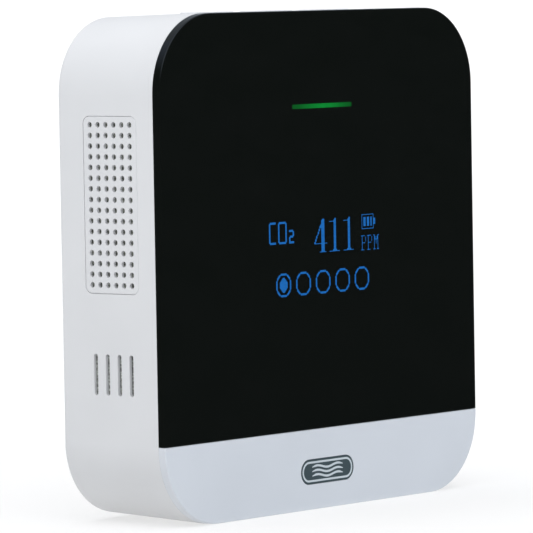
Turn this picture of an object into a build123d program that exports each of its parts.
from build123d import *
import os

# Carbon dioxide monitor: a square, wall or shelf standing indoor air quality meter.
# Millimetres. +Z is up, the front faces -Y, and the origin is under the middle of the
# body, on the surface that it stands on. Depths are Y values: the front is negative.

# ---------------------------------------------------------------- driving dimensions
SIZE = 96.0  # width and height of the body's front rim
DEPTH = 26.0  # front face to back face
COVER = 1.7  # thickness of the black panel and of the chin below it
CORNER = 15.0  # corner radius of the front rim
SIDE_DRAFT = 0.63  # how far the sides and top lean in, from rim to back
BASE_DRAFT = 1.0  # the same for the underside
STEP = 0.05  # the front cover is this much smaller than the rim, all round
WALL = 2.0
EDGE = 0.25  # rounding of the front cover's outer edge
SEAM_EDGE = 0.12  # rounding where the panel and the chin meet
BACK_EDGE = 1.2  # rounding round the back face
PANEL_BOTTOM = 15.56
FIT = 0.15  # gap between parts that go together by hand
THREAD_GAP = 0.03  # a screw's shank in its post

FRONT = -DEPTH / 2
RIM = FRONT + COVER
BACK = DEPTH / 2
BACK_INSIDE = BACK - WALL

# Front frame: a plate inside the rim that carries the panel, the display and the board
TAPE = 0.15
PLATE_FRONT = RIM + TAPE
PLATE_BACK = PLATE_FRONT + 1.5
LIP_BACK = PLATE_BACK + 1.4

# Sound and air openings in the left side
SIDE_OUTSIDE = -SIZE / 2 - 1.0  # cuts in the left side run between these two X values
SIDE_INSIDE = -SIZE / 2 + 5.0
OPENINGS_DEPTH = -0.4
GRILLE_HEIGHT = 60.45
GRILLE_SIZE = (13.5, 33.3)
GRILLE_CORNER = 1.5
GRILLE_LEDGE = 0.8
GRILLE_THICKNESS = 0.65
GRILLE_GAP = 0.05
GRILLE_EDGE = 0.2
HOLE_PITCH = 2.0
HOLE_RADIUS = 0.55
HOLE_COLUMNS = 6
HOLE_ROWS = 16
SLOT_HEIGHT = 28.6
SLOT_SIZE = (7.8, 1.0)
SLOT_PITCH = 3.0
SLOT_COUNT = 4
SLOT_POCKET = (12.4, 10.4)  # hollow behind the slots, where the wall is thin
SLOT_WALL = 0.7

# Three keys in the top, each over a side-pushed switch
KEY_PITCH = 17.85
KEY_DEPTH = 0.4
KEY_SIZE = (12.6, 4.2)
KEY_CORNER = 1.2
KEY_TOP = SIZE + 0.03
KEY_EDGE = 0.3
KEY_STEM = (3.2, 2.4)
KEY_FLANGE = 0.9
KEY_FLANGE_TOP = 93.3
KEY_NAMES = ("left", "middle", "right")
SWITCH_DEPTH = 0.2
SWITCH_SIZE = (6.2, 4.0)
SWITCH_TOP = 87.0
SWITCH_BOTTOM = 83.5
PLUNGER_SIZE = (2.4, 1.5)
PLUNGER_TOP = 88.6
PLUNGER_BOTTOM = 86.2

# Printed circuit board
BOARD_FRONT = -3.2
BOARD_BACK = BOARD_FRONT + 1.6
BOARD_SPAN_X = (-41.0, 41.0)
BOARD_SPAN_Z = (13.0, 87.0)
BOARD_SCREWS = [(x, z) for x in (-30.0, 30.0) for z in (18.0, 80.0)]
BOARD_SCREW_RADIUS = 1.0
BOARD_SCREW_LENGTH = 6.0
BOARD_SCREW_HEAD = (1.9, 1.3)  # radius and height
BOARD_SCREW_CROSS = (2.0, 0.4, 0.7)  # length, width and depth of the recess
BOARD_POST_RADIUS = 2.4
BOARD_POST_HOLE = 5.2

# Screws that hold the housing to the front frame
CORNER_SCREWS = [(x, z) for x in (-37.5, 37.5) for z in (10.5, 85.5)]
CORNER_SCREW_RADIUS = 1.15
CORNER_SCREW_LENGTH = 9.0
CORNER_SCREW_HEAD = (2.1, 1.5)  # radius and height
CORNER_SCREW_CROSS = (2.4, 0.5, 0.9)  # length, width and depth of the recess
CORNER_SEAT = 6.0
CORNER_BOSS_TIP = 3.0
CORNER_BOSS_RADIUS = 3.4
CORNER_HOLE_RADIUS = 2.4
CORNER_POST_RADIUS = 2.6

# Display
DISPLAY_WINDOW = (36.6, 19.0)
DISPLAY_HEIGHT = 49.0
GLASS_SPAN_X = (-21.0, 21.0)
GLASS_SPAN_Z = (33.8, 61.0)
GLASS_THICKNESS = 1.45
LIGHT_HEIGHT = 77.65
LIGHT_SIZE = (19.6, 1.8)
LIGHT_FLANGE = (24.0, 4.4)
LIGHT_TUNNEL = 2.6
LED_SIZE = (2.0, 1.25, 0.8)
LED_PITCH = 6.0

# Emblem on the chin
BADGE_HEIGHT = 7.36
BADGE_SIZE = (16.2, 4.8)
BADGE_THICKNESS = 0.4
BADGE_GAP = 0.05
BADGE_EDGE = 0.08

# USB-C socket in the right side
USB_HEIGHT = 30.0
USB_SHELL = (8.94, 3.26)
USB_MOUTH = 46.7
USB_LENGTH = 7.3
USB_SHEET = 0.3
USB_BASE = 1.2
USB_TONGUE = (0.7, 6.7, 4.5)
USB_GAP = 0.2
USB_SEAT = (7.0, 13.0)  # shallow seat outside for the plug's grip
USB_SEAT_CORNER = 3.0
USB_DEPTH = BOARD_BACK + USB_SHELL[1] / 2

# Wall hooks in the back
KEYHOLE_PITCH = 50.0
KEYHOLE_HEIGHT = 78.0
KEYHOLE_RADIUS = 3.25
KEYHOLE_SLOT = (9.0, 3.6)

# Label on the back
LABEL_SIZE = (44.0, 24.0)
LABEL_HEIGHT = 40.0
LABEL_SEAT = 0.15
LABEL_GAP = 0.2
LABEL_SUNK = 0.03

# Rails under the leaning base
RAIL_PITCH = 48.0
RAIL_WIDTH = 5.0
RAIL_SPAN_Y = (RIM + 0.5, BACK - 1.0)


# ---------------------------------------------------------------- planes and outlines
def at_depth(depth):
    """Plane across the body at a depth, with X to the right and Z up."""
    return Plane.XZ.offset(-depth)


def middle(span):
    return (span[0] + span[1]) / 2


def length(span):
    return span[1] - span[0]


def body_outline(depth, inset=0.0):
    """The housing's outline at a depth, shrunk by an inset. It leans in towards the back."""
    share = (depth - RIM) / (BACK - RIM)
    side = SIDE_DRAFT * share + inset
    base = BASE_DRAFT * share + inset
    with Locations((0, (SIZE - side + base) / 2)):
        RectangleRounded(SIZE - 2 * side, SIZE - side - base, CORNER - side)


def cover_outline(inset, mode=Mode.ADD):
    """The front cover's outline: the rim's outline, shrunk by an inset."""
    with Locations((0, SIZE / 2)):
        RectangleRounded(SIZE - 2 * inset, SIZE - 2 * inset, CORNER - inset, mode=mode)


def body_block(front, back, inset=0.0):
    """A solid with the housing's leaning sides, between two depths."""
    with BuildPart() as block:
        for depth in (front, back):
            with BuildSketch(at_depth(depth)):
                body_outline(depth, inset)
        loft(ruled=True)
    return block.part


def side_prism(size, corner, height):
    """A rounded bar along X through the left side, centred on the openings' depth."""
    with BuildPart() as prism:
        with BuildSketch(Plane.YZ.offset(SIDE_OUTSIDE)):
            with Locations((OPENINGS_DEPTH, height)):
                RectangleRounded(size[0], size[1], corner)
        extrude(amount=SIDE_INSIDE - SIDE_OUTSIDE)
    return prism.part


def shrunk(size, amount):
    """A width and height, each smaller by an amount on both sides."""
    return (size[0] - 2 * amount, size[1] - 2 * amount)


def plain_block(name, span_x, span_y, span_z, corner=0.0):
    """A block given by its spans, with rounded corners as seen from the front."""
    with BuildPart() as block:
        with BuildSketch(at_depth(span_y[0])):
            with Locations((middle(span_x), middle(span_z))):
                if corner:
                    RectangleRounded(length(span_x), length(span_z), corner)
                else:
                    Rectangle(length(span_x), length(span_z))
        extrude(amount=-length(span_y))
    finish(block.part, name)
    return block.part


def cross_recesses(places, cross):
    """The crossed slots in screw heads, from the length and width of a slot."""
    for place in places:
        with Locations(place):
            Rectangle(cross[0], cross[1])
            Rectangle(cross[1], cross[0])


def finish(piece, name):
    """Label a finished piece and write its STEP file."""
    piece.label = name
    export_step(piece, f"parts/{name}.step")


os.makedirs("parts", exist_ok=True)

# ---------------------------------------------------------------- main housing
outer_block = body_block(RIM, BACK)
cavity_block = body_block(RIM, BACK_INSIDE, WALL)
skin_core = body_block(RIM, BACK, GRILLE_THICKNESS)
grille_opening = side_prism(
    shrunk(GRILLE_SIZE, GRILLE_LEDGE), GRILLE_CORNER - GRILLE_LEDGE, GRILLE_HEIGHT
)

with BuildPart() as recess_cut:
    add(side_prism(GRILLE_SIZE, GRILLE_CORNER, GRILLE_HEIGHT))
    add(skin_core, mode=Mode.SUBTRACT)

with BuildPart() as slot_pocket:
    add(side_prism(SLOT_POCKET, GRILLE_CORNER, SLOT_HEIGHT))
    add(body_block(RIM, BACK, SLOT_WALL), mode=Mode.INTERSECT)

with BuildPart() as main_housing:
    add(outer_block)
    back_edges = main_housing.faces().sort_by(Axis.Y)[-1].edges()
    fillet(back_edges, BACK_EDGE)
    add(cavity_block, mode=Mode.SUBTRACT)
    # Rim for the vent grille, and the opening inside it
    add(recess_cut.part, mode=Mode.SUBTRACT)
    add(grille_opening, mode=Mode.SUBTRACT)
    # Sound and air slots below the grille
    add(slot_pocket.part, mode=Mode.SUBTRACT)
    with BuildSketch(Plane.YZ.offset(SIDE_OUTSIDE)):
        with Locations((OPENINGS_DEPTH, SLOT_HEIGHT)):
            with GridLocations(SLOT_PITCH, 0, SLOT_COUNT, 1):
                SlotOverall(SLOT_SIZE[0], SLOT_SIZE[1], rotation=90)
    extrude(amount=SIDE_INSIDE - SIDE_OUTSIDE, mode=Mode.SUBTRACT)
    # Openings for the three keys
    with BuildSketch(Plane.XY.offset(SIZE - 4 * WALL)):
        with Locations((0, KEY_DEPTH)):
            with GridLocations(KEY_PITCH, 0, 3, 1):
                RectangleRounded(*shrunk(KEY_SIZE, -FIT), KEY_CORNER + FIT)
    extrude(amount=6 * WALL, mode=Mode.SUBTRACT)
    # USB-C opening, with a shallow seat outside for the plug's grip
    with BuildSketch(Plane.YZ.offset(-SIDE_INSIDE)):
        with Locations((USB_DEPTH, USB_HEIGHT)):
            SlotOverall(USB_SHELL[0] + 2 * USB_GAP, USB_SHELL[1] + 2 * USB_GAP, rotation=90)
    extrude(amount=SIDE_INSIDE - SIDE_OUTSIDE, mode=Mode.SUBTRACT)
    with BuildSketch(Plane.YZ.offset(USB_MOUTH)):
        with Locations((USB_DEPTH, USB_HEIGHT)):
            RectangleRounded(*USB_SEAT, USB_SEAT_CORNER)
    extrude(amount=WALL, mode=Mode.SUBTRACT)
    # Corner bosses, and the deep holes that the screws go in by
    with BuildSketch(at_depth(CORNER_BOSS_TIP)):
        with Locations(*CORNER_SCREWS):
            Circle(CORNER_BOSS_RADIUS)
    extrude(amount=CORNER_BOSS_TIP - BACK_INSIDE)
    with BuildSketch(at_depth(CORNER_BOSS_TIP)):
        with Locations(*CORNER_SCREWS):
            Circle(CORNER_SCREW_RADIUS + 0.2)
    extrude(amount=CORNER_BOSS_TIP - BACK, mode=Mode.SUBTRACT)
    with BuildSketch(at_depth(CORNER_SEAT)):
        with Locations(*CORNER_SCREWS):
            Circle(CORNER_HOLE_RADIUS)
    extrude(amount=CORNER_SEAT - BACK, mode=Mode.SUBTRACT)
    # Two keyholes for wall screws: a round mouth with a slot going up
    with BuildSketch(at_depth(BACK_INSIDE)):
        with Locations((0, KEYHOLE_HEIGHT)):
            with GridLocations(KEYHOLE_PITCH, 0, 2, 1):
                Circle(KEYHOLE_RADIUS)
        with Locations((0, KEYHOLE_HEIGHT + (KEYHOLE_SLOT[0] - KEYHOLE_SLOT[1]) / 2)):
            with GridLocations(KEYHOLE_PITCH, 0, 2, 1):
                SlotOverall(KEYHOLE_SLOT[0], KEYHOLE_SLOT[1], rotation=90)
    extrude(amount=-WALL, mode=Mode.SUBTRACT)
    # Shallow seat for the label
    with BuildSketch(at_depth(BACK - LABEL_SEAT)):
        with Locations((0, LABEL_HEIGHT)):
            RectangleRounded(*shrunk(LABEL_SIZE, -LABEL_GAP), 1.0 + LABEL_GAP)
    extrude(amount=-1, mode=Mode.SUBTRACT)
    # Two rails under the leaning base, so that the body stands level
    with BuildSketch(Plane.XY):
        with Locations((0, middle(RAIL_SPAN_Y))):
            with GridLocations(RAIL_PITCH, 0, 2, 1):
                Rectangle(RAIL_WIDTH, length(RAIL_SPAN_Y))
    extrude(amount=WALL)
finish(main_housing.part, "main_housing")

# ---------------------------------------------------------------- vent grille and dust filter
grille_plate = side_prism(
    shrunk(GRILLE_SIZE, GRILLE_GAP), GRILLE_CORNER - GRILLE_GAP, GRILLE_HEIGHT
)
with BuildPart() as vent_grille:
    add(outer_block)
    add(skin_core, mode=Mode.SUBTRACT)
    add(grille_plate, mode=Mode.INTERSECT)
    fillet(vent_grille.faces().sort_by(Axis.X)[0].edges(), GRILLE_EDGE)
    with BuildSketch(Plane.YZ.offset(SIDE_OUTSIDE)):
        with Locations((OPENINGS_DEPTH, GRILLE_HEIGHT)):
            with GridLocations(HOLE_PITCH, HOLE_PITCH, HOLE_COLUMNS, HOLE_ROWS):
                Circle(HOLE_RADIUS)
    extrude(amount=SIDE_INSIDE - SIDE_OUTSIDE, mode=Mode.SUBTRACT)
finish(vent_grille.part, "vent_grille")

filter_bar = side_prism(
    shrunk(GRILLE_SIZE, GRILLE_LEDGE + FIT / 2), GRILLE_CORNER - GRILLE_LEDGE, GRILLE_HEIGHT
)
with BuildPart() as dust_filter:
    add(skin_core)
    add(body_block(RIM, BACK, WALL), mode=Mode.SUBTRACT)
    add(filter_bar, mode=Mode.INTERSECT)
finish(dust_filter.part, "dust_filter")

# ---------------------------------------------------------------- front frame
CHIN_TOP = PANEL_BOTTOM - 0.06
PLATE_INSET = WALL + FIT
LIP_INSET = PLATE_INSET + 1.3

with BuildPart() as front_frame:
    # Chin, flush with the black panel
    with BuildSketch(at_depth(FRONT)):
        cover_outline(STEP)
        with Locations((0, CHIN_TOP + SIZE / 2)):
            Rectangle(2 * SIZE, SIZE, mode=Mode.SUBTRACT)
    extrude(amount=-COVER)
    chin_edges = front_frame.faces().sort_by(Axis.Y)[0].edges()
    fillet(chin_edges.sort_by(Axis.Z)[:-1], EDGE)
    fillet(front_frame.faces().sort_by(Axis.Y)[0].edges().sort_by(Axis.Z)[-1], SEAM_EDGE)
    # Plate inside the rim
    with BuildSketch(at_depth(PLATE_FRONT)):
        cover_outline(PLATE_INSET)
    extrude(amount=PLATE_FRONT - PLATE_BACK)
    with BuildSketch(at_depth(RIM)):
        cover_outline(PLATE_INSET)
        with Locations((0, CHIN_TOP + SIZE / 2)):
            Rectangle(2 * SIZE, SIZE, mode=Mode.SUBTRACT)
    extrude(amount=-TAPE)
    # Lip that centres the plate in the housing
    with BuildSketch(at_depth(PLATE_BACK)):
        cover_outline(PLATE_INSET)
        cover_outline(LIP_INSET, Mode.SUBTRACT)
    extrude(amount=PLATE_BACK - LIP_BACK)
    # Posts for the corner screws and the board screws
    with BuildSketch(at_depth(PLATE_BACK)):
        with Locations(*CORNER_SCREWS):
            Circle(CORNER_POST_RADIUS)
    extrude(amount=PLATE_BACK - CORNER_BOSS_TIP)
    with BuildSketch(at_depth(PLATE_BACK)):
        with Locations(*BOARD_SCREWS):
            Circle(BOARD_POST_RADIUS)
    extrude(amount=PLATE_BACK - BOARD_FRONT)
    with BuildSketch(at_depth(CORNER_BOSS_TIP)):
        with Locations(*CORNER_SCREWS):
            Circle(CORNER_SCREW_RADIUS + THREAD_GAP)
    extrude(amount=CORNER_BOSS_TIP - CORNER_SEAT + CORNER_SCREW_LENGTH + 0.8, mode=Mode.SUBTRACT)
    with BuildSketch(at_depth(BOARD_FRONT)):
        with Locations(*BOARD_SCREWS):
            Circle(BOARD_SCREW_RADIUS + THREAD_GAP)
    extrude(amount=BOARD_POST_HOLE, mode=Mode.SUBTRACT)
    # Windows for the display and for the status light
    with BuildSketch(at_depth(PLATE_FRONT)):
        with Locations((0, DISPLAY_HEIGHT)):
            Rectangle(*DISPLAY_WINDOW)
        with Locations((0, LIGHT_HEIGHT)):
            Rectangle(*shrunk(LIGHT_SIZE, -FIT))
    extrude(amount=-WALL, mode=Mode.SUBTRACT)
    # Seat for the emblem
    with BuildSketch(at_depth(FRONT)):
        with Locations((0, BADGE_HEIGHT)):
            SlotOverall(*shrunk(BADGE_SIZE, -BADGE_GAP))
    extrude(amount=-BADGE_THICKNESS, mode=Mode.SUBTRACT)
finish(front_frame.part, "front_frame")

# ---------------------------------------------------------------- front panel, tape, emblem
with BuildPart() as front_panel:
    with BuildSketch(at_depth(FRONT)):
        cover_outline(STEP)
        with Locations((0, PANEL_BOTTOM - SIZE / 2)):
            Rectangle(2 * SIZE, SIZE, mode=Mode.SUBTRACT)
    extrude(amount=-COVER)
    panel_edges = front_panel.faces().sort_by(Axis.Y)[0].edges()
    fillet(panel_edges.sort_by(Axis.Z)[1:], EDGE)
    fillet(front_panel.faces().sort_by(Axis.Y)[0].edges().sort_by(Axis.Z)[0], SEAM_EDGE)
finish(front_panel.part, "front_panel")

TAPE_SPAN_X = (-43.0, 43.0)
TAPE_SPAN_Z = (PANEL_BOTTOM + 1.5, SIZE - 5.0)
TAPE_CORNER = 9.0
TAPE_WIDTH = 4.0
with BuildPart() as panel_adhesive:
    with BuildSketch(at_depth(RIM)):
        with Locations((0, middle(TAPE_SPAN_Z))):
            for inset, mode in ((0.0, Mode.ADD), (TAPE_WIDTH, Mode.SUBTRACT)):
                width, height = shrunk((length(TAPE_SPAN_X), length(TAPE_SPAN_Z)), inset)
                RectangleRounded(width, height, TAPE_CORNER - inset, mode=mode)
    extrude(amount=-TAPE)
finish(panel_adhesive.part, "panel_adhesive")

with BuildPart() as badge:
    with BuildSketch(at_depth(FRONT)):
        with Locations((0, BADGE_HEIGHT)):
            SlotOverall(*BADGE_SIZE)
    extrude(amount=-BADGE_THICKNESS)
    chamfer(badge.faces().sort_by(Axis.Y)[0].edges(), BADGE_EDGE)
finish(badge.part, "badge")

# ---------------------------------------------------------------- status light
FLANGE_BACK = PLATE_BACK + 1.0
with BuildPart() as light_guide:
    with BuildSketch(at_depth(PLATE_FRONT)):
        with Locations((0, LIGHT_HEIGHT)):
            Rectangle(*LIGHT_SIZE)
    extrude(amount=PLATE_FRONT - PLATE_BACK)
    with BuildSketch(at_depth(PLATE_BACK)):
        with Locations((0, LIGHT_HEIGHT)):
            Rectangle(*LIGHT_FLANGE)
    extrude(amount=PLATE_BACK - FLANGE_BACK)
    with BuildSketch(at_depth(FLANGE_BACK)):
        with Locations((0, LIGHT_HEIGHT)):
            Rectangle(LIGHT_SIZE[0], LIGHT_TUNNEL)
    extrude(amount=FLANGE_BACK - BOARD_FRONT + 1.0)
finish(light_guide.part, "light_guide")

with BuildPart() as status_leds:
    with BuildSketch(at_depth(BOARD_FRONT)):
        with Locations((0, LIGHT_HEIGHT)):
            with GridLocations(LED_PITCH, 0, 3, 1):
                Rectangle(LED_SIZE[0], LED_SIZE[1])
    extrude(amount=LED_SIZE[2])
finish(status_leds.part, "status_leds")

# ---------------------------------------------------------------- display
GLASS_BACK = PLATE_BACK + GLASS_THICKNESS
HOLDER_BACK = GLASS_BACK + 1.0
HOLDER_SPAN_X = (-23.0, 23.0)
HOLDER_SPAN_Z = (32.0, 62.8)
HOLDER_LEGS = (40.0, 25.0)
HOLDER_LEG_RADIUS = 1.5
RIBBON_WIDTH = 14.0
RIBBON_THICKNESS = 0.12
RIBBON_TOP = 36.4
CONNECTOR_SPAN_Z = (22.0, 25.4)

plain_block("display_glass", GLASS_SPAN_X, (PLATE_BACK, GLASS_BACK), GLASS_SPAN_Z)

with BuildPart() as display_holder:
    # Tray round the glass
    with BuildSketch(at_depth(PLATE_BACK + 0.1)):
        with Locations((0, middle(HOLDER_SPAN_Z))):
            RectangleRounded(length(HOLDER_SPAN_X), length(HOLDER_SPAN_Z), 1.0)
    extrude(amount=PLATE_BACK + 0.1 - HOLDER_BACK)
    with BuildSketch(at_depth(PLATE_BACK)):
        with Locations((0, middle(GLASS_SPAN_Z))):
            Rectangle(length(GLASS_SPAN_X) + 2 * FIT, length(GLASS_SPAN_Z) + 2 * FIT)
    extrude(amount=-GLASS_THICKNESS, mode=Mode.SUBTRACT)
    # Way out for the ribbon
    with BuildSketch(at_depth(PLATE_BACK)):
        with Locations((0, HOLDER_SPAN_Z[0] + 2.5)):
            Rectangle(RIBBON_WIDTH + 1.0, 5.0)
    extrude(amount=-4, mode=Mode.SUBTRACT)
    # Legs that rest on the board
    with BuildSketch(at_depth(HOLDER_BACK)):
        with Locations((0, middle(HOLDER_SPAN_Z))):
            with GridLocations(*HOLDER_LEGS, 2, 2):
                Circle(HOLDER_LEG_RADIUS)
    extrude(amount=HOLDER_BACK - BOARD_FRONT)
finish(display_holder.part, "display_holder")

RIBBON_FRONT = GLASS_BACK + RIBBON_THICKNESS / 2
RIBBON_BACK = BOARD_FRONT - 0.9
with BuildPart() as display_ribbon:
    with BuildLine(Plane.YZ):
        FilletPolyline(
            (RIBBON_FRONT, RIBBON_TOP),
            (RIBBON_FRONT, 31.0),
            (RIBBON_BACK, 28.4),
            (RIBBON_BACK, CONNECTOR_SPAN_Z[1]),
            radius=1.2,
        )
    with BuildSketch(Plane.XY.offset(RIBBON_TOP)):
        with Locations((0, RIBBON_FRONT)):
            Rectangle(RIBBON_WIDTH, RIBBON_THICKNESS)
    sweep()
finish(display_ribbon.part, "display_ribbon")

plain_block("ribbon_connector", (-8.5, 8.5), (BOARD_FRONT - 1.5, BOARD_FRONT), CONNECTOR_SPAN_Z)

# ---------------------------------------------------------------- main board
with BuildPart() as main_board:
    with BuildSketch(at_depth(BOARD_FRONT)):
        with Locations((0, middle(BOARD_SPAN_Z))):
            Rectangle(length(BOARD_SPAN_X), length(BOARD_SPAN_Z))
        with Locations((BOARD_SPAN_X[1] + 1.8, USB_HEIGHT)):
            Rectangle(3.6, 13.0)
        with Locations(*CORNER_SCREWS):
            Rectangle(2 * CORNER_BOSS_RADIUS + 1.2, 2 * CORNER_BOSS_RADIUS + 1.2, mode=Mode.SUBTRACT)
        with Locations(*BOARD_SCREWS):
            Circle(BOARD_SCREW_RADIUS + 0.15, mode=Mode.SUBTRACT)
    extrude(amount=BOARD_FRONT - BOARD_BACK)
finish(main_board.part, "main_board")

# Chips and other small parts on the back of the board
CHIPS = {
    "microcontroller": ((-6.0, 1.0), 1.4, (47.0, 54.0)),
    "power_chip": ((24.0, 28.0), 1.0, (36.0, 40.0)),
    "power_inductor": ((30.0, 35.0), 2.6, (36.0, 41.0)),
    "climate_sensor": ((-39.5, -36.5), 1.1, (38.0, 41.0)),
}
for chip, (chip_x, chip_height, chip_z) in CHIPS.items():
    plain_block(chip, chip_x, (BOARD_BACK, BOARD_BACK + chip_height), chip_z, corner=0.2)

with BuildPart() as ceramic_capacitors:
    with BuildSketch(at_depth(BOARD_BACK)):
        with Locations((-2.5, 43.5), (22.0, 32.0)):
            with GridLocations(3.0, 0, 3, 1):
                Rectangle(1.25, 2.0)
    extrude(amount=-0.9)
finish(ceramic_capacitors.part, "ceramic_capacitors")

SOUNDER_PLACE = (-34.0, SLOT_HEIGHT)
with BuildPart() as sounder:
    with BuildSketch(at_depth(BOARD_BACK)):
        with Locations(SOUNDER_PLACE):
            Circle(6.0)
    extrude(amount=-5.4)
    fillet(sounder.faces().sort_by(Axis.Y)[-1].edges(), 0.5)
    with BuildSketch(at_depth(BOARD_BACK + 5.4)):
        with Locations(SOUNDER_PLACE):
            Circle(1.1)
    extrude(amount=2.0, mode=Mode.SUBTRACT)
finish(sounder.part, "sounder")

# ---------------------------------------------------------------- carbon dioxide sensor
CELL_CENTRE = (-31.0, 60.45)
CELL_SIZE = (18.0, 30.0)
CELL_FRONT = BOARD_BACK + 2.3
CELL_BACK = CELL_FRONT + 5.6
SENSOR_BOARD_SIZE = (20.0, 33.5)

with BuildPart() as sensor_board:
    with BuildSketch(at_depth(CELL_FRONT - 0.8)):
        with Locations(CELL_CENTRE):
            Rectangle(*SENSOR_BOARD_SIZE)
    extrude(amount=-0.8)
finish(sensor_board.part, "sensor_board")

with BuildPart() as sensor_pins:
    with BuildSketch(at_depth(BOARD_BACK)):
        with Locations(CELL_CENTRE):
            with GridLocations(2.54, SENSOR_BOARD_SIZE[1] - 3.0, 5, 2):
                Rectangle(0.6, 0.6)
    extrude(amount=BOARD_BACK - CELL_FRONT + 0.8)
finish(sensor_pins.part, "sensor_pins")

with BuildPart() as sensor_cell:
    with BuildSketch(at_depth(CELL_FRONT)):
        with Locations(CELL_CENTRE):
            RectangleRounded(*CELL_SIZE, 2.0)
    extrude(amount=CELL_FRONT - CELL_BACK)
    fillet(sensor_cell.faces().sort_by(Axis.Y)[-1].edges(), 0.8)
    # Hollow measuring chamber, open to the filter by four windows
    with BuildSketch(at_depth(CELL_FRONT)):
        with Locations(CELL_CENTRE):
            RectangleRounded(CELL_SIZE[0] - 2.4, CELL_SIZE[1] - 2.4, 1.0)
    extrude(amount=CELL_FRONT - CELL_BACK + 1.2, mode=Mode.SUBTRACT)
    with BuildSketch(at_depth(CELL_FRONT)):
        with Locations(CELL_CENTRE):
            with GridLocations(5.0, 6.0, 2, 2):
                Rectangle(3.4, 4.4)
    extrude(amount=-8, mode=Mode.SUBTRACT)
finish(sensor_cell.part, "sensor_cell")

FILTER_SPAN_X = (CELL_CENTRE[0] - 6.0, CELL_CENTRE[0] + 6.0)
FILTER_SPAN_Z = (CELL_CENTRE[1] - 7.0, CELL_CENTRE[1] + 7.0)
plain_block("sensor_filter", FILTER_SPAN_X, (CELL_BACK, CELL_BACK + 0.4), FILTER_SPAN_Z, corner=1.0)

# ---------------------------------------------------------------- USB-C socket
with BuildPart() as usb_shell:
    with BuildSketch(Plane.YZ.offset(USB_MOUTH - USB_LENGTH)):
        with Locations((USB_DEPTH, USB_HEIGHT)):
            SlotOverall(USB_SHELL[0], USB_SHELL[1], rotation=90)
    extrude(amount=USB_LENGTH)
    with BuildSketch(Plane.YZ.offset(USB_MOUTH - USB_LENGTH)):
        with Locations((USB_DEPTH, USB_HEIGHT)):
            SlotOverall(*shrunk(USB_SHELL, USB_SHEET), rotation=90)
    extrude(amount=USB_LENGTH, mode=Mode.SUBTRACT)
finish(usb_shell.part, "usb_shell")

with BuildPart() as usb_insert:
    with BuildSketch(Plane.YZ.offset(USB_MOUTH - USB_LENGTH)):
        with Locations((USB_DEPTH, USB_HEIGHT)):
            SlotOverall(*shrunk(USB_SHELL, USB_SHEET), rotation=90)
    extrude(amount=USB_BASE)
    with BuildSketch(Plane.YZ.offset(USB_MOUTH - USB_LENGTH + USB_BASE)):
        with Locations((USB_DEPTH, USB_HEIGHT)):
            Rectangle(USB_TONGUE[0], USB_TONGUE[1])
    extrude(amount=USB_TONGUE[2])
finish(usb_insert.part, "usb_insert")

# ---------------------------------------------------------------- battery
CELL_TAPE = 0.3
BATTERY_SPAN_X = (3.0, 37.0)
BATTERY_SPAN_Y = (BACK_INSIDE - CELL_TAPE - 5.4, BACK_INSIDE - CELL_TAPE)
BATTERY_SPAN_Z = (17.0, 67.0)
LEAD_DEPTH = middle(BATTERY_SPAN_Y)
LEAD_RADIUS = 0.45
LEAD_X = (19.0, 21.0)
PLUG_HEIGHT = 74.0
SOCKET_BACK = BOARD_BACK + 2.6
PLUG_BACK = SOCKET_BACK + 2.2

with BuildPart() as battery_cell:
    with BuildSketch(at_depth(BATTERY_SPAN_Y[0])):
        with Locations((middle(BATTERY_SPAN_X), middle(BATTERY_SPAN_Z))):
            RectangleRounded(length(BATTERY_SPAN_X), length(BATTERY_SPAN_Z), 1.5)
    extrude(amount=-length(BATTERY_SPAN_Y))
    fillet(battery_cell.faces().sort_by(Axis.Y)[0].edges(), 1.2)
    fillet(battery_cell.faces().sort_by(Axis.Y)[-1].edges(), 1.2)
finish(battery_cell.part, "battery_cell")

plain_block("battery_tape", (6.0, 34.0), (BACK_INSIDE - CELL_TAPE, BACK_INSIDE), (22.0, 62.0))
plain_block("battery_socket", (15.5, 24.5), (BOARD_BACK, SOCKET_BACK), (71.5, 76.5))
plain_block("battery_plug", (16.0, 24.0), (SOCKET_BACK, PLUG_BACK), (72.0, 76.0), corner=0.3)

with BuildPart() as battery_leads:
    for lead_x in LEAD_X:
        with BuildLine(Plane.YZ.offset(lead_x)):
            FilletPolyline(
                (PLUG_BACK, PLUG_HEIGHT),
                (LEAD_DEPTH, PLUG_HEIGHT),
                (LEAD_DEPTH, BATTERY_SPAN_Z[1]),
                radius=2.6,
            )
        with BuildSketch(at_depth(PLUG_BACK)):
            with Locations((lead_x, PLUG_HEIGHT)):
                Circle(LEAD_RADIUS)
        sweep()
finish(battery_leads.part, "battery_leads")

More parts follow.
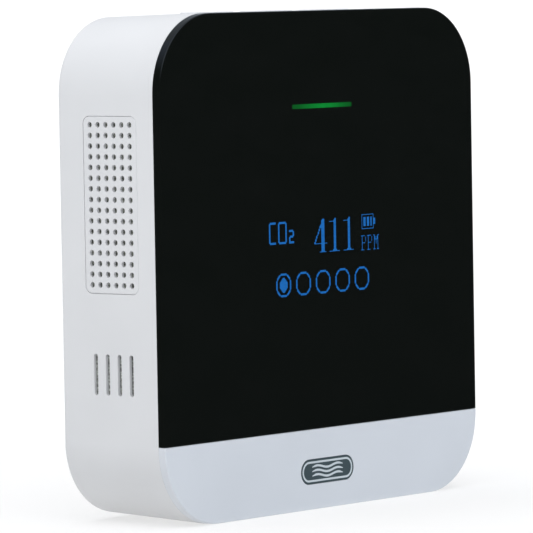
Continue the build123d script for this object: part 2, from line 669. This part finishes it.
# ---------------------------------------------------------------- keys and switches
for index, key_name in enumerate(KEY_NAMES):
    key_x = (index - 1) * KEY_PITCH

    with BuildPart() as key:
        with BuildSketch(Plane.XY.offset(KEY_FLANGE_TOP)):
            with Locations((key_x, KEY_DEPTH)):
                RectangleRounded(KEY_SIZE[0], KEY_SIZE[1], KEY_CORNER)
        extrude(amount=KEY_TOP - KEY_FLANGE_TOP)
        fillet(key.faces().sort_by(Axis.Z)[-1].edges(), KEY_EDGE)
        with BuildSketch(Plane.XY.offset(KEY_FLANGE_TOP)):
            with Locations((key_x, KEY_DEPTH)):
                RectangleRounded(*shrunk(KEY_SIZE, -KEY_FLANGE), KEY_CORNER + KEY_FLANGE)
        extrude(amount=-KEY_FLANGE)
        with BuildSketch(Plane.XY.offset(KEY_FLANGE_TOP - KEY_FLANGE)):
            with Locations((key_x, SWITCH_DEPTH)):
                RectangleRounded(*KEY_STEM, 0.4)
        extrude(amount=PLUNGER_TOP - KEY_FLANGE_TOP + KEY_FLANGE)
    finish(key.part, f"{key_name}_button")

    with BuildPart() as plunger:
        with BuildSketch(Plane.XY.offset(PLUNGER_BOTTOM)):
            with Locations((key_x, SWITCH_DEPTH)):
                Rectangle(*PLUNGER_SIZE)
        extrude(amount=PLUNGER_TOP - PLUNGER_BOTTOM)
    finish(plunger.part, f"{key_name}_switch_plunger")

    with BuildPart() as switch_body:
        with BuildSketch(Plane.XY.offset(SWITCH_BOTTOM)):
            with Locations((key_x, BOARD_BACK + SWITCH_SIZE[1] / 2)):
                Rectangle(*SWITCH_SIZE)
        extrude(amount=SWITCH_TOP - SWITCH_BOTTOM)
        with BuildSketch(Plane.XY.offset(SWITCH_TOP)):
            with Locations((key_x, SWITCH_DEPTH)):
                Rectangle(PLUNGER_SIZE[0] + 0.2, PLUNGER_SIZE[1] + 0.2)
        extrude(amount=PLUNGER_BOTTOM - SWITCH_TOP - 0.7, mode=Mode.SUBTRACT)
    finish(switch_body.part, f"{key_name}_switch_body")

# ---------------------------------------------------------------- fasteners and label
with BuildPart() as housing_screws:
    with BuildSketch(at_depth(CORNER_SEAT)):
        with Locations(*CORNER_SCREWS):
            Circle(CORNER_SCREW_HEAD[0])
    extrude(amount=-CORNER_SCREW_HEAD[1])
    fillet(housing_screws.faces().filter_by(Plane.XZ).group_by(Axis.Y)[-1].edges(), 0.5)
    with BuildSketch(at_depth(CORNER_SEAT)):
        with Locations(*CORNER_SCREWS):
            Circle(CORNER_SCREW_RADIUS)
    extrude(amount=CORNER_SCREW_LENGTH)
    with BuildSketch(at_depth(CORNER_SEAT + CORNER_SCREW_HEAD[1])):
        cross_recesses(CORNER_SCREWS, CORNER_SCREW_CROSS)
    extrude(amount=CORNER_SCREW_CROSS[2], mode=Mode.SUBTRACT)
finish(housing_screws.part, "housing_screws")

with BuildPart() as board_screws:
    with BuildSketch(at_depth(BOARD_BACK)):
        with Locations(*BOARD_SCREWS):
            Circle(BOARD_SCREW_HEAD[0])
    extrude(amount=-BOARD_SCREW_HEAD[1])
    with BuildSketch(at_depth(BOARD_BACK)):
        with Locations(*BOARD_SCREWS):
            Circle(BOARD_SCREW_RADIUS)
    extrude(amount=BOARD_SCREW_LENGTH)
    with BuildSketch(at_depth(BOARD_BACK + BOARD_SCREW_HEAD[1])):
        cross_recesses(BOARD_SCREWS, BOARD_SCREW_CROSS)
    extrude(amount=BOARD_SCREW_CROSS[2], mode=Mode.SUBTRACT)
finish(board_screws.part, "board_screws")

plain_block(
    "rating_label",
    (-LABEL_SIZE[0] / 2, LABEL_SIZE[0] / 2),
    (BACK - LABEL_SEAT, BACK - LABEL_SUNK),
    (LABEL_HEIGHT - LABEL_SIZE[1] / 2, LABEL_HEIGHT + LABEL_SIZE[1] / 2),
    corner=1.0,
)
